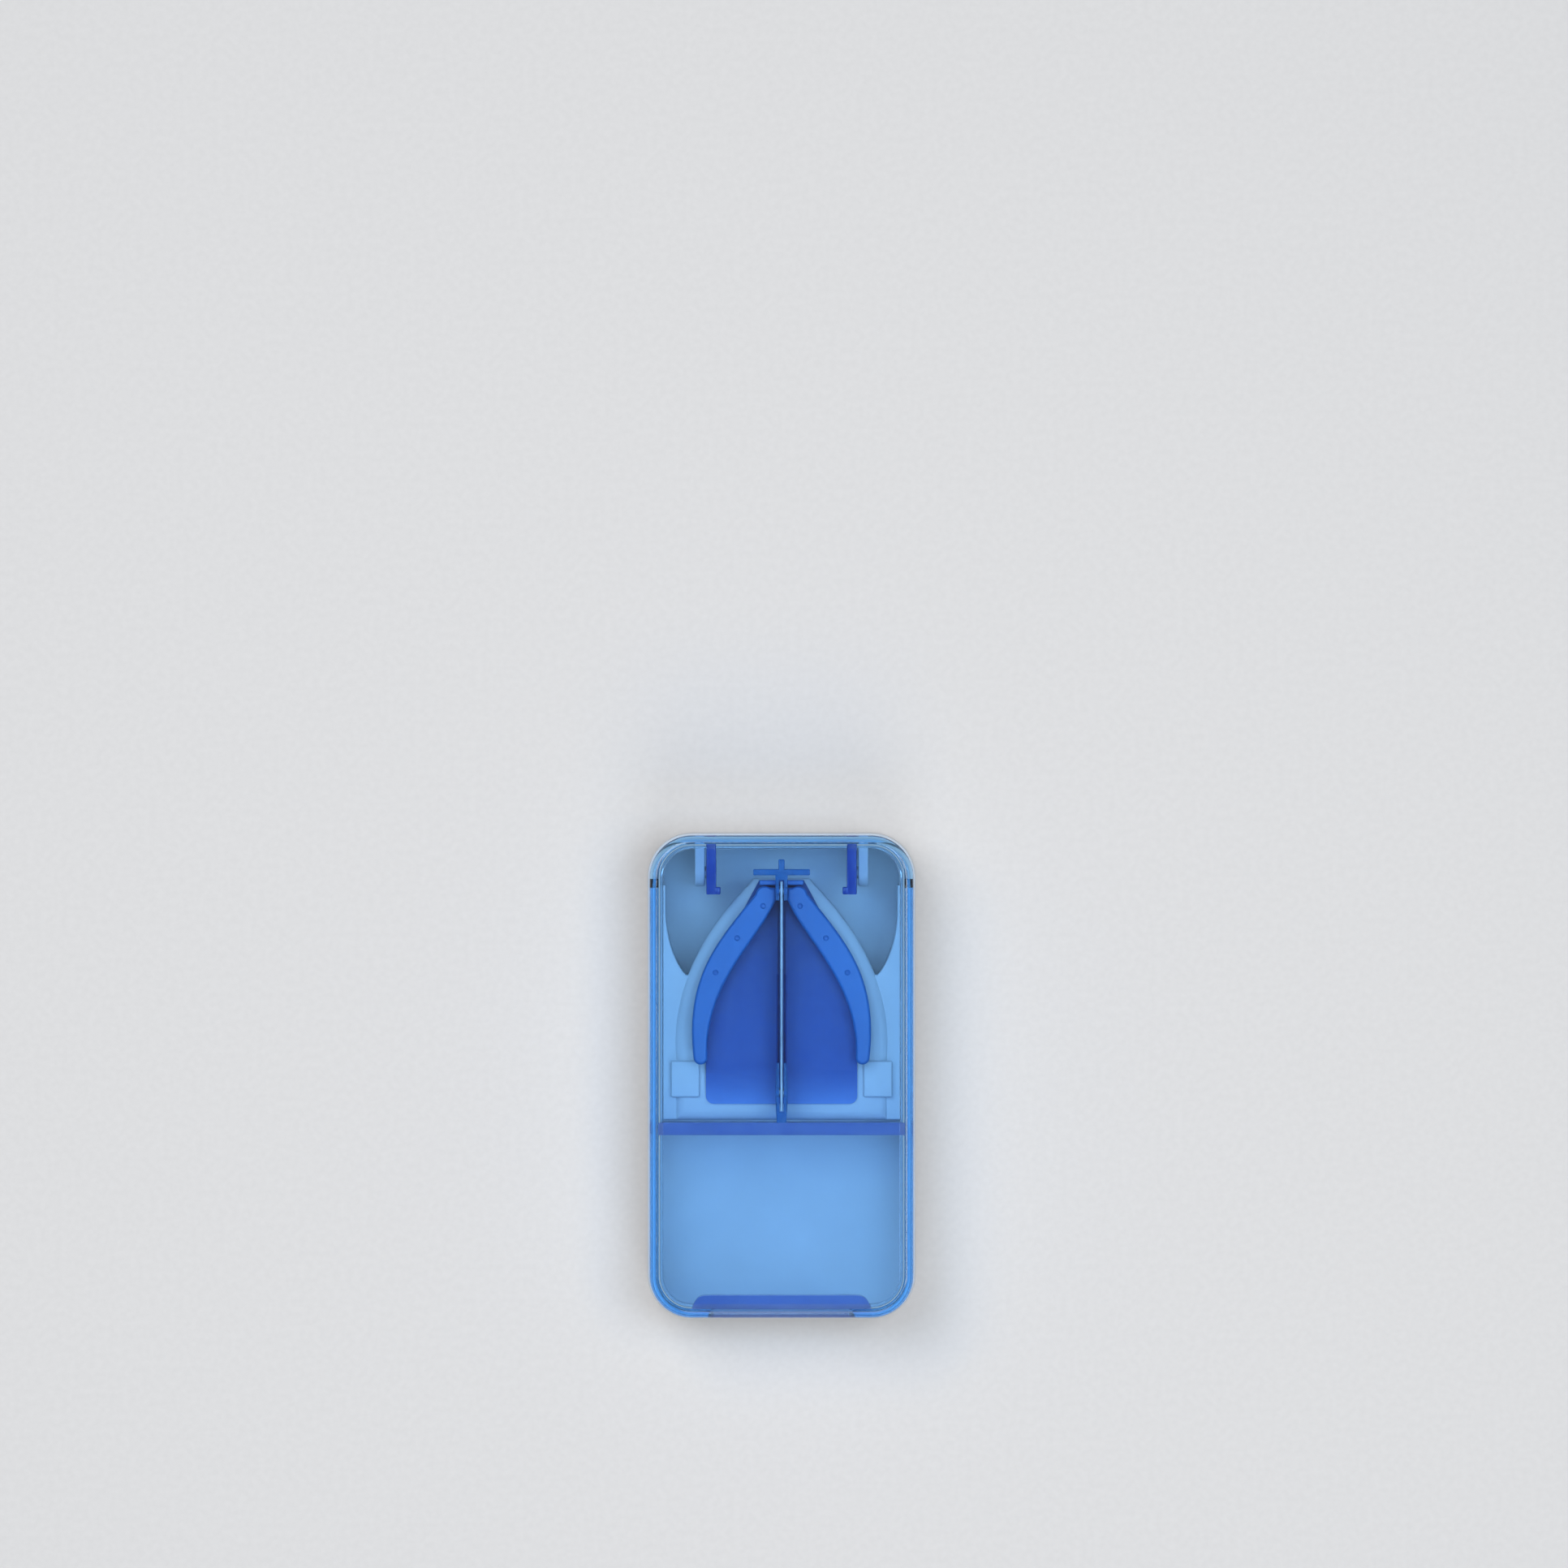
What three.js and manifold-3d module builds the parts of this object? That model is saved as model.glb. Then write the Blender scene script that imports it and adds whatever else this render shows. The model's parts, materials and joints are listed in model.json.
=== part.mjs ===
// Compact pill splitter: a tray with a storage bay and a raised cutting deck, two springy
// arms that centre a tablet, and a hinged clear lid that carries the blade.
//
// Millimetres, +Z up. X is the width, +Y the hinge end, and the origin is under the middle
// of the tray. The lid is closed: the blade then stands in the groove of the pill pad.
import * as THREE from "three";
import { mergeVertices } from "three/addons/utils/BufferGeometryUtils.js";
import Module from "manifold-3d";

const wasm = await Module();
wasm.setup();

// Driving dimensions ------------------------------------------------------------------

const TRAY = { width: 43.6, length: 79.0, height: 16.8, corner: 7.2, wall: 1.6, floor: 1.2 };
const TRAY_ROUNDS = { edge: 1.0, rim: 0.35, fillet: 0.8 };
const LID = { width: 42.8, length: 78.2, top: 26.4, corner: 6.9, wall: 1.4, plate: 1.5 };
const LID_ROUNDS = { edge: 1.3, fillet: 0.9, rim: 0.25 };
const SEAM = 0.3; // open line between tray rim and lid rim
const REST = 0.1; // film of air under a piece that rests on another
const BITE = 0.5; // how far a joined shape reaches into what it joins

const DECK = { front: -7.2, rear: 32.0, half: 17.2, top: 15.8, wall: 1.4, round: 0.35 };
const DECK_SIDE = { straight: 2.6, bow: [18.2, 13.0], lean: [13.4, 23.0], tip: 5.2, flat: 4.6 };
const SHELF = { half: 19.6, drop: 0.6, wing: 0.8, wingEnd: 31.0, hollowRear: 14.8 };
const SHELF_WELL = { top: 26.0, lean: [18.5, 21.5], bow: [17.2, 18.2], foot: [15.6, 16.4] };
const ARM_REST = { inner: 13.3, outer: 18.0, front: -3.5, rear: 2.4, rise: 0.8 };
const PAD = { front: -4.6, half: 12.3, thick: 1.0, corner: 1.3, round: 0.12 };
const PAD_RAMP = { length: 5.5, drop: 0.8 };
const PAD_SIDE = { straight: 6.0, bow: [12.6, 14.5], lean: [9.0, 22.0] };
const GROOVE = { width: 1.2, depth: 0.7 };
const ROOT_BLOCK = { front: 31.0, rear: 31.8, half: 3.6 };
const ARM = { bottom: 17.5, top: 20.9, rootX: 2.7, rootY: 29.3, rootRadius: 1.5, round: 0.45 };
const ARM_INNER = { root: [0.9, 28.6], lean: [3.4, 22.4], bow: [12.6, 15.0], tip: [12.0, 3.0] };
const ARM_OUTER = { tip: [14.3, 3.0], bow: [15.9, 17.0], lean: [9.6, 22.6], root: [3.4, 30.6] };
const DIMPLE = { radius: 0.45, depth: 0.4 };
const DIMPLES = [
  [3.0, 27.6],
  [7.2, 22.4],
  [10.7, 16.8],
];

const RIB = { rear: -7.5, thick: 2.0, below: 1.9, chamfer: 0.4, play: 0.4 };
const BLADE = { front: -5.6, rear: 31.6, edge: 16.3, back: 24.6, thick: 0.45, bevel: 1.3 };
const BLADE_CORNER = { length: 1.6, height: 2.2 };
const BLADE_SLOT = { width: 0.75, play: 0.2 };
const LEAF = { front: -9.7, wide: -3.8, rear: 2.2, bottom: 17.2 };
const LEAF_HALF = { front: 0.5, wide: 1.3, rear: 0.75 };
const GUSSET = { low: -2.5, high: 16.6, width: 1.7 };
const REAR_HOLDER = { front: 28.5, rear: 35.2, width: 2.0, bottom: 21.2, fin: 1.0 };
const CROSS_BAR = { middle: 33.1, half: 4.6, thick: 1.0, bottom: 21.8 };
const THUMB = { half: 12.0, depth: 1.4, bend: 2.0, lip: 1.7 };
const THUMB_WALL = { thick: 2.2, flare: 2.5, sweep: 1.6, shoulder: 0.6 };

const HINGE = { y: 33.0, z: 13.6 };
const BRACKET = { inner: 12.5, outer: 14.1, radius: 2.2 };
const EAR = { inner: 10.6, thick: 1.6, front: 29.5, web: 1.7, boss: 2.3, shin: 2.9, heel: 4.0 };
const EAR_FLANGE = { inner: 9.9, thick: 1.2, low: 18.5 };
const RELIEF = { front: 30.5, radius: 7.6, top: 19.6 };
const HINGE_PIN = { radius: 1.0, inner: 10.7, outer: 14.0 };
const HINGE_HOLE = { inBracket: 1.09, inEar: 1.06 };
const BLADE_PIN = { radius: 0.7, hole: 0.8, half: 0.95, frontY: -2.6, rearY: 30.1, z: 22.9 };

const ROUND_STEPS = 10; // segments in a quarter of a rounded corner
const CLEAR = 1.0; // how far a cutting shape runs past what it cuts

// Small tools -------------------------------------------------------------------------

/** A closed three.js geometry as a manifold-3d solid. */
function solid(geometry) {
  const bare = geometry.index ? geometry.toNonIndexed() : geometry.clone();
  bare.deleteAttribute("normal");
  bare.deleteAttribute("uv");
  const merged = mergeVertices(bare, 1e-4);
  return new wasm.Manifold(
    new wasm.Mesh({
      numProp: 3,
      vertProperties: merged.attributes.position.array,
      triVerts: new Uint32Array(merged.index.array),
    }),
  );
}

/** A manifold-3d solid as a three.js geometry. */
function geometryOf(body) {
  const mesh = body.getMesh();
  const geometry = new THREE.BufferGeometry();
  const points = new Float32Array(mesh.vertProperties);
  geometry.setAttribute("position", new THREE.BufferAttribute(points, 3));
  geometry.setIndex(new THREE.BufferAttribute(mesh.triVerts, 1));
  geometry.computeVertexNormals();
  return geometry;
}

/** A plan outline as a plate between two heights, with its edges rounded by `round`. */
function plate(outline, bottom, top, round = 0, steps = 8) {
  const geometry = new THREE.ExtrudeGeometry(outline, {
    depth: top - bottom - 2 * round,
    curveSegments: steps,
    bevelEnabled: round > 0,
    bevelThickness: round,
    bevelSize: round,
    bevelOffset: -round,
    bevelSegments: 2,
  });
  geometry.translate(0, 0, bottom + round);
  return solid(geometry);
}

/** A side outline, drawn with Y across and Z up, as a slab from x = low to x = high. */
function slab(outline, low, high, steps = 8) {
  const geometry = new THREE.ExtrudeGeometry(outline, {
    depth: high - low,
    curveSegments: steps,
    bevelEnabled: false,
  });
  const across = new THREE.Vector3(0, 1, 0);
  const up = new THREE.Vector3(0, 0, 1);
  const along = new THREE.Vector3(1, 0, 0);
  geometry.applyMatrix4(new THREE.Matrix4().makeBasis(across, up, along));
  geometry.translate(low, 0, 0);
  return solid(geometry);
}

/** A box from its lowest and highest corners. */
function block([x0, y0, z0], [x1, y1, z1]) {
  const geometry = new THREE.BoxGeometry(x1 - x0, y1 - y0, z1 - z0);
  geometry.translate((x0 + x1) / 2, (y0 + y1) / 2, (z0 + z1) / 2);
  return solid(geometry);
}

/** A round bar along X, from x = low to x = high. */
function barAlongX(radius, y, z, low, high, sides = 24) {
  const geometry = new THREE.CylinderGeometry(radius, radius, high - low, sides);
  geometry.rotateZ(Math.PI / 2);
  geometry.translate((low + high) / 2, y, z);
  return solid(geometry);
}

/** An upright round bar between two heights. */
function post(radius, x, y, bottom, top, sides = 24) {
  const geometry = new THREE.CylinderGeometry(radius, radius, top - bottom, sides);
  geometry.rotateX(Math.PI / 2);
  geometry.translate(x, y, (bottom + top) / 2);
  return solid(geometry);
}

/** A polygon of [across, up] points. */
function polygon(points) {
  return new THREE.Shape(points.map(([a, b]) => new THREE.Vector2(a, b)));
}

/** The points of a rounded rectangle, anticlockwise seen from above. */
function roundedRing(halfWidth, halfLength, radius, z) {
  const points = [];
  for (let corner = 0; corner < 4; corner++) {
    const start = (corner * Math.PI) / 2;
    const signX = corner === 0 || corner === 3 ? 1 : -1;
    const signY = corner < 2 ? 1 : -1;
    for (let step = 0; step <= ROUND_STEPS; step++) {
      const angle = start + (step / ROUND_STEPS) * (Math.PI / 2);
      const x = signX * (halfWidth - radius) + radius * Math.cos(angle);
      const y = signY * (halfLength - radius) + radius * Math.sin(angle);
      points.push([x, y, z]);
    }
  }
  return points;
}

/**
 * A rounded box shell. The profile is a list of [inset, z]: each entry is one rounded
 * rectangle, set in from the outline, and a flat face closes the first and the last.
 */
function shell({ width, length, corner }, profile) {
  const rings = profile.map(([inset, z]) =>
    roundedRing(width / 2 - inset, length / 2 - inset, corner - inset, z),
  );
  const count = rings[0].length;
  const points = rings.flat();
  const faces = [];
  for (let r = 0; r + 1 < rings.length; r++) {
    for (let i = 0; i < count; i++) {
      const j = (i + 1) % count;
      const [a, b, c, d] = [r * count + i, r * count + j, (r + 1) * count + j, (r + 1) * count + i];
      faces.push(a, b, c, a, c, d);
    }
  }
  const last = (rings.length - 1) * count;
  const first = points.push([0, 0, profile[0][1]]) - 1;
  const end = points.push([0, 0, profile[profile.length - 1][1]]) - 1;
  for (let i = 0; i < count; i++) {
    const j = (i + 1) % count;
    faces.push(first, j, i, last + i, last + j, end);
  }
  const geometry = new THREE.BufferGeometry();
  geometry.setAttribute("position", new THREE.Float32BufferAttribute(points.flat(), 3));
  geometry.setIndex(faces);
  return solid(geometry);
}

/** A quarter round of a profile: [inset, z] points from one angle to another, in degrees. */
function quarter(inset, z, radius, from, to, steps = 4) {
  return Array.from({ length: steps + 1 }, (_, i) => {
    const angle = ((from + ((to - from) * i) / steps) * Math.PI) / 180;
    return [inset - radius * Math.cos(angle), z + radius * Math.sin(angle)];
  });
}

/** The same solid on the other side of the middle plane. */
const mirrored = (body) => body.mirror([1, 0, 0]);

/** A round bar on the hinge's axis, from x = low to x = high. */
const hingeBar = (radius, low, high, sides = 24) =>
  barAlongX(radius, HINGE.y, HINGE.z, low, high, sides);

// Tray --------------------------------------------------------------------------------

function makeTray() {
  const { height, wall, floor } = TRAY;
  const { edge, rim, fillet } = TRAY_ROUNDS;
  const body = shell(TRAY, [
    ...quarter(edge, edge, edge, -90, 0),
    [0, height - rim],
    [rim, height],
    [wall - rim, height],
    [wall, height - rim],
    ...quarter(wall + fillet, floor + fillet, fillet, 0, -90),
  ]);

  // Two brackets stand between floor and rear wall and hold the hinge pins.
  const rearWall = TRAY.length / 2 - wall + BITE;
  const { inner, outer, radius } = BRACKET;
  const outline = new THREE.Shape();
  outline.moveTo(HINGE.y - radius, floor - BITE);
  outline.lineTo(rearWall, floor - BITE);
  outline.lineTo(rearWall, HINGE.z + radius);
  outline.lineTo(HINGE.y, HINGE.z + radius);
  outline.absarc(HINGE.y, HINGE.z, radius, Math.PI / 2, Math.PI, false);
  outline.closePath();
  const hole = hingeBar(HINGE_HOLE.inBracket, inner - CLEAR, outer + CLEAR);
  const bracket = slab(outline, inner, outer, 12).subtract(hole);
  return body.add(bracket).add(mirrored(bracket));
}

// Cutting deck ------------------------------------------------------------------------

/** The outline of the deck's raised arch, set in by `inset`. */
function archOutline(inset = 0) {
  const { front, rear, half } = DECK;
  const lengthways = 0.6;
  const across = 0.8;
  const side = half - inset;
  const bow = { x: DECK_SIDE.bow[0] - inset, y: DECK_SIDE.bow[1] };
  const lean = { x: DECK_SIDE.lean[0] - inset, y: DECK_SIDE.lean[1] - lengthways * inset };
  const tip = { x: DECK_SIDE.tip - across * inset, y: rear - across - inset };
  const flat = { x: DECK_SIDE.flat - across * inset, y: rear - inset };
  const shape = new THREE.Shape();
  shape.moveTo(-side, front + inset);
  shape.lineTo(side, front + inset);
  shape.lineTo(side, DECK_SIDE.straight);
  shape.bezierCurveTo(bow.x, bow.y, lean.x, lean.y, tip.x, tip.y);
  shape.lineTo(flat.x, flat.y);
  shape.lineTo(-flat.x, flat.y);
  shape.lineTo(-tip.x, tip.y);
  shape.bezierCurveTo(-lean.x, lean.y, -bow.x, bow.y, -side, DECK_SIDE.straight);
  shape.closePath();
  return shape;
}

/** The outline of the low shelf beside the arch, with a thin wing along each tray wall. */
function shelfOutline() {
  const { half, wing, wingEnd } = SHELF;
  const { top, lean, bow, foot } = SHELF_WELL;
  const inner = half - wing;
  const shape = new THREE.Shape();
  shape.moveTo(-half, DECK.front);
  shape.lineTo(half, DECK.front);
  shape.lineTo(half, wingEnd);
  shape.lineTo(inner, wingEnd);
  shape.lineTo(inner, top);
  shape.bezierCurveTo(...lean, ...bow, ...foot);
  shape.lineTo(-foot[0], foot[1]);
  shape.bezierCurveTo(-bow[0], bow[1], -lean[0], lean[1], -inner, top);
  shape.lineTo(-inner, wingEnd);
  shape.lineTo(-half, wingEnd);
  shape.closePath();
  return shape;
}

function makeDeck() {
  const { front, top, wall, round } = DECK;
  const bottom = TRAY.floor + REST;
  const shelfTop = top - SHELF.drop;
  const hollowHalf = SHELF.half - wall;
  const underArch = plate(archOutline(wall), bottom - CLEAR, top - wall, 0, 14);
  const underShelf = block(
    [-hollowHalf, front + wall, bottom - CLEAR],
    [hollowHalf, SHELF.hollowRear, shelfTop - wall],
  );
  const rest = block(
    [ARM_REST.inner, ARM_REST.front, top - BITE],
    [ARM_REST.outer, ARM_REST.rear, top + ARM_REST.rise],
  );
  return plate(archOutline(), bottom, top, round, 14)
    .add(plate(shelfOutline(), bottom, shelfTop, round, 8))
    .subtract(underArch)
    .subtract(underShelf)
    .add(rest)
    .add(mirrored(rest));
}

// Pill pad and arms -------------------------------------------------------------------

const padTop = DECK.top + REST + PAD.thick;

function makePad() {
  const { front, half, thick, corner, round } = PAD;
  const { straight, bow, lean } = PAD_SIDE;
  const end = [ROOT_BLOCK.half, ROOT_BLOCK.rear];
  const shape = new THREE.Shape();
  shape.moveTo(-half + corner, front);
  shape.lineTo(half - corner, front);
  shape.quadraticCurveTo(half, front, half, front + corner);
  shape.lineTo(half, straight);
  shape.bezierCurveTo(...bow, ...lean, ...end);
  shape.lineTo(-end[0], end[1]);
  shape.bezierCurveTo(-lean[0], lean[1], -bow[0], bow[1], -half, straight);
  shape.lineTo(-half, front + corner);
  shape.quadraticCurveTo(-half, front, -half + corner, front);

  const { length, drop } = PAD_RAMP;
  const ramp = slab(
    polygon([
      [front - length, padTop - 2 * drop],
      [front + length, padTop],
      [front + length, padTop + CLEAR],
      [front - length, padTop + CLEAR],
    ]),
    -half - CLEAR,
    half + CLEAR,
  );
  const groove = block(
    [-GROOVE.width / 2, front - CLEAR, padTop - GROOVE.depth],
    [GROOVE.width / 2, ROOT_BLOCK.rear + CLEAR, ARM.top + CLEAR],
  );

  // A low wall behind the arms' roots closes the point of the vee.
  const rootBlock = block(
    [-ROOT_BLOCK.half, ROOT_BLOCK.front, padTop - BITE],
    [ROOT_BLOCK.half, ROOT_BLOCK.rear, ARM.top],
  );
  return plate(shape, padTop - thick, padTop, round, 12)
    .subtract(ramp)
    .add(rootBlock)
    .subtract(groove);
}

/** The right arm: a bowed bar that leaves a round root and ends in a round tip. */
function makeArm() {
  const { bottom, top, rootX, rootY, rootRadius, round } = ARM;
  const [tipInner, tipY] = ARM_INNER.tip;
  const tipRadius = (ARM_OUTER.tip[0] - tipInner) / 2;
  const bar = new THREE.Shape();
  bar.moveTo(...ARM_INNER.root);
  bar.bezierCurveTo(...ARM_INNER.lean, ...ARM_INNER.bow, ...ARM_INNER.tip);
  bar.absarc(tipInner + tipRadius, tipY, tipRadius, Math.PI, 2 * Math.PI, false);
  bar.bezierCurveTo(...ARM_OUTER.bow, ...ARM_OUTER.lean, ...ARM_OUTER.root);
  bar.lineTo(ARM_INNER.root[0], ARM_OUTER.root[1]);
  bar.closePath();

  const root = post(rootRadius, rootX, rootY, padTop + REST, top, 28);
  let arm = plate(bar, bottom, top, round, 14).add(root);
  for (const [x, y] of DIMPLES) {
    arm = arm.subtract(post(DIMPLE.radius, x, y, top - DIMPLE.depth, top + CLEAR, 10));
  }
  return arm;
}

// Lid ---------------------------------------------------------------------------------

const lidRim = TRAY.height + SEAM;
const ceiling = LID.top - LID.plate;
const lidFront = -LID.length / 2;

/** The holder of the blade's front end: a leaf in plan, then a thin rising gusset. */
function makeFrontHolder() {
  const { front, wide, rear, bottom } = LEAF;
  const up = ceiling + BITE;
  const leaf = new THREE.Shape();
  leaf.moveTo(-LEAF_HALF.front, front);
  leaf.quadraticCurveTo(-LEAF_HALF.wide, wide, -LEAF_HALF.rear, rear);
  leaf.lineTo(LEAF_HALF.rear, rear);
  leaf.quadraticCurveTo(LEAF_HALF.wide, wide, LEAF_HALF.front, front);
  leaf.closePath();
  const { low, high, width } = GUSSET;
  const gusset = block([-width / 2, rear - CLEAR, bottom], [width / 2, high, up]);
  const underside = slab(
    polygon([
      [low, bottom - CLEAR],
      [high + CLEAR, bottom - CLEAR],
      [high + CLEAR, ceiling],
      [high, ceiling],
      [low, bottom],
    ]),
    -2 * width,
    2 * width,
  );
  return plate(leaf, bottom, up).add(gusset).subtract(underside);
}

/** The holder of the blade's rear end: two cheeks, a cross bar and a fin behind it. */
function makeRearHolder() {
  const { front, rear, width, bottom, fin } = REAR_HOLDER;
  const { middle, half, thick } = CROSS_BAR;
  const up = ceiling + BITE;
  const cheeks = block([-width / 2, front, bottom], [width / 2, middle, up]);
  const bar = block(
    [-half, middle - thick / 2, CROSS_BAR.bottom],
    [half, middle + thick / 2, up],
  );
  const tail = block([-fin / 2, middle, CROSS_BAR.bottom], [fin / 2, rear, up]);
  return cheeks.add(bar).add(tail);
}

/** The point straight above `y` on the rear relief's arc. */
const reliefHeight = (y) => HINGE.z + Math.sqrt(RELIEF.radius ** 2 - (y - HINGE.y) ** 2);

/** The angle around the hinge of a point on the relief's arc. */
const reliefAngle = (y) => Math.acos((y - HINGE.y) / RELIEF.radius);

/** Y where the relief's arc comes down to the lower edge of the lid's rear wall. */
const reliefRear = HINGE.y + Math.sqrt(RELIEF.radius ** 2 - (RELIEF.top - HINGE.z) ** 2);

/** One hinge ear: a hook that hangs from the lid's rear and ends in a boss on the hinge. */
function makeEar() {
  const { inner, thick, front, web, boss, shin, heel } = EAR;
  const up = ceiling + BITE;
  const back = front + web;
  const rearWall = LID.length / 2 - LID.wall + BITE;
  const onBoss = 0.95 * boss;
  const offBoss = 0.3 * boss;
  const outline = new THREE.Shape();
  outline.moveTo(front, up);
  outline.lineTo(front, HINGE.z + shin);
  outline.lineTo(HINGE.y - onBoss, HINGE.z - offBoss);
  outline.lineTo(HINGE.y, HINGE.z);
  outline.lineTo(HINGE.y - offBoss, HINGE.z + onBoss);
  outline.lineTo(back, HINGE.z + heel);
  outline.lineTo(back, reliefHeight(back));
  outline.absarc(HINGE.y, HINGE.z, RELIEF.radius, reliefAngle(back), reliefAngle(reliefRear), true);
  outline.lineTo(rearWall, RELIEF.top);
  outline.lineTo(rearWall, up);
  outline.closePath();

  const outer = inner + thick;
  const hub = hingeBar(boss, inner, outer, 32);
  const bore = hingeBar(HINGE_HOLE.inEar, inner - CLEAR, outer + CLEAR);
  const flange = block(
    [EAR_FLANGE.inner, front, EAR_FLANGE.low],
    [inner + BITE, front + EAR_FLANGE.thick, up],
  );
  return slab(outline, inner, outer).add(hub).add(flange).subtract(bore);
}

/** What is cut from the rear of the lid, so that it rolls back over the tray's rear edge. */
function makeRelief() {
  const { front, top } = RELIEF;
  const turn = HINGE.y - 1.0; // where the slope from the lid's rim meets the arc
  const low = lidRim - 2 * CLEAR;
  const beyond = LID.length / 2 + CLEAR;
  const outline = new THREE.Shape();
  outline.moveTo(front, low);
  outline.lineTo(front, lidRim - 0.1);
  outline.lineTo(turn, reliefHeight(turn));
  outline.absarc(HINGE.y, HINGE.z, RELIEF.radius, reliefAngle(turn), reliefAngle(reliefRear), true);
  outline.lineTo(beyond, top);
  outline.lineTo(beyond, low);
  outline.closePath();
  return slab(outline, -LID.width, LID.width, 24);
}

/** The plan of the finger recess, which leaves a lip of the top plate above it. */
function recessOutline() {
  const { half, depth, bend } = THUMB;
  const deep = lidFront + depth;
  const turn = lidFront + 0.2;
  const shape = new THREE.Shape();
  shape.moveTo(-half, lidFront - CLEAR);
  shape.lineTo(half, lidFront - CLEAR);
  shape.lineTo(half, turn);
  shape.quadraticCurveTo(half, deep, half - bend, deep);
  shape.lineTo(-half + bend, deep);
  shape.quadraticCurveTo(-half, deep, -half, turn);
  shape.closePath();
  return shape;
}

/** The plan of the wall behind the finger recess. */
function backingOutline() {
  const { half, depth } = THUMB;
  const { thick, flare, sweep, shoulder } = THUMB_WALL;
  const front = lidFront + LID.wall - BITE;
  const back = lidFront + depth + thick;
  const shape = new THREE.Shape();
  shape.moveTo(-half - flare, front);
  shape.lineTo(half + flare, front);
  shape.quadraticCurveTo(half + sweep, back, half - shoulder, back);
  shape.lineTo(-half + shoulder, back);
  shape.quadraticCurveTo(-half - sweep, back, -half - flare, front);
  return shape;
}

/** The rib that parts the storage bay from the blade, with a tongue below the rim. */
function makeRib() {
  const { rear, thick, below, chamfer, play } = RIB;
  const front = rear - thick;
  const low = lidRim - below;
  const half = LID.width / 2 - LID.wall + BITE;
  const tongueHalf = TRAY.width / 2 - TRAY.wall - play;
  const tongue = polygon([
    [front + chamfer, low],
    [rear - chamfer, low],
    [rear, low + chamfer],
    [rear, lidRim + BITE],
    [front, lidRim + BITE],
    [front, low + chamfer],
  ]);
  const web = block([-half, front, lidRim], [half, rear, ceiling + BITE]);
  return web.add(slab(tongue, -tongueHalf, tongueHalf));
}

function makeLid() {
  const { wall, top } = LID;
  const { edge, fillet, rim } = LID_ROUNDS;
  const body = shell(LID, [
    ...quarter(wall + fillet, ceiling - fillet, fillet, 90, 0, 3),
    [wall, lidRim + rim],
    [wall - rim, lidRim],
    [rim, lidRim],
    [0, lidRim + rim],
    ...quarter(edge, top - edge, edge, 0, 90),
  ]);
  const { width, play } = BLADE_SLOT;
  const slot = block(
    [-width / 2, BLADE.front - play, lidRim - CLEAR],
    [width / 2, BLADE.rear + play, ceiling],
  );
  const ear = makeEar();
  return body
    .add(plate(backingOutline(), lidRim, ceiling + BITE))
    .subtract(plate(recessOutline(), lidRim - CLEAR, top - THUMB.lip))
    .subtract(makeRelief())
    .add(makeRib())
    .add(makeFrontHolder())
    .add(makeRearHolder())
    .subtract(slot)
    .subtract(makePinHoles())
    .add(ear)
    .add(mirrored(ear));
}

// Blade and pins ----------------------------------------------------------------------

/** The two holes through blade and holders for the blade's pins. */
function makePinHoles() {
  const { hole, frontY, rearY, z } = BLADE_PIN;
  const reach = REAR_HOLDER.width / 2 + CLEAR;
  return barAlongX(hole, frontY, z, -reach, reach, 16).add(
    barAlongX(hole, rearY, z, -reach, reach, 16),
  );
}

function makeBlade() {
  const { front, rear, edge, back, thick, bevel } = BLADE;
  const section = polygon([
    [0, edge],
    [thick / 2, edge + bevel],
    [thick / 2, back],
    [-thick / 2, back],
    [-thick / 2, edge + bevel],
  ]);
  const bar = new THREE.ExtrudeGeometry(section, { depth: rear - front, bevelEnabled: false });
  bar.rotateX(Math.PI / 2);
  bar.translate(0, rear, 0);
  const { length, height } = BLADE_CORNER;
  const nose = polygon([
    [front - CLEAR, edge - CLEAR],
    [front + length, edge - CLEAR],
    [front + length, edge],
    [front, edge + height],
    [front - CLEAR, edge + height],
  ]);
  const heel = polygon([
    [rear + CLEAR, edge - CLEAR],
    [rear + CLEAR, edge + height],
    [rear, edge + height],
    [rear - length, edge],
    [rear - length, edge - CLEAR],
  ]);
  return solid(bar)
    .subtract(slab(nose, -thick, thick))
    .subtract(slab(heel, -thick, thick))
    .subtract(makePinHoles());
}

const makeBladePin = (y) =>
  barAlongX(BLADE_PIN.radius, y, BLADE_PIN.z, -BLADE_PIN.half, BLADE_PIN.half, 16);
const makeHingePin = () => hingeBar(HINGE_PIN.radius, HINGE_PIN.inner, HINGE_PIN.outer, 20);

// Assembly ----------------------------------------------------------------------------

const finish = (color, roughness, metalness = 0, opacity = 1) =>
  new THREE.MeshStandardMaterial({
    color,
    roughness,
    metalness,
    opacity,
    transparent: opacity < 1,
    flatShading: true,
  });

const greyPlastic = finish(0xdcdcda, 0.45);
const clearBlue = finish(0x3f8fe6, 0.12, 0, 0.45);
const solidBlue = finish(0x4a76d8, 0.35);
const bladeSteel = finish(0xb9bcc0, 0.25, 1);
const pinSteel = finish(0xa9acb0, 0.35, 1);

function named(name, body, material) {
  const mesh = new THREE.Mesh(geometryOf(body), material);
  mesh.name = name;
  return mesh;
}

const arm = makeArm();
const hingePin = makeHingePin();

const base = new THREE.Group();
base.add(named("base_tray", makeTray(), greyPlastic));
base.add(named("cutting_deck", makeDeck(), greyPlastic));
base.add(named("pill_pad", makePad(), solidBlue));

const arms = new THREE.Group();
arms.add(named("right_arm", arm, solidBlue));
arms.add(named("left_arm", mirrored(arm), solidBlue));

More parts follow.
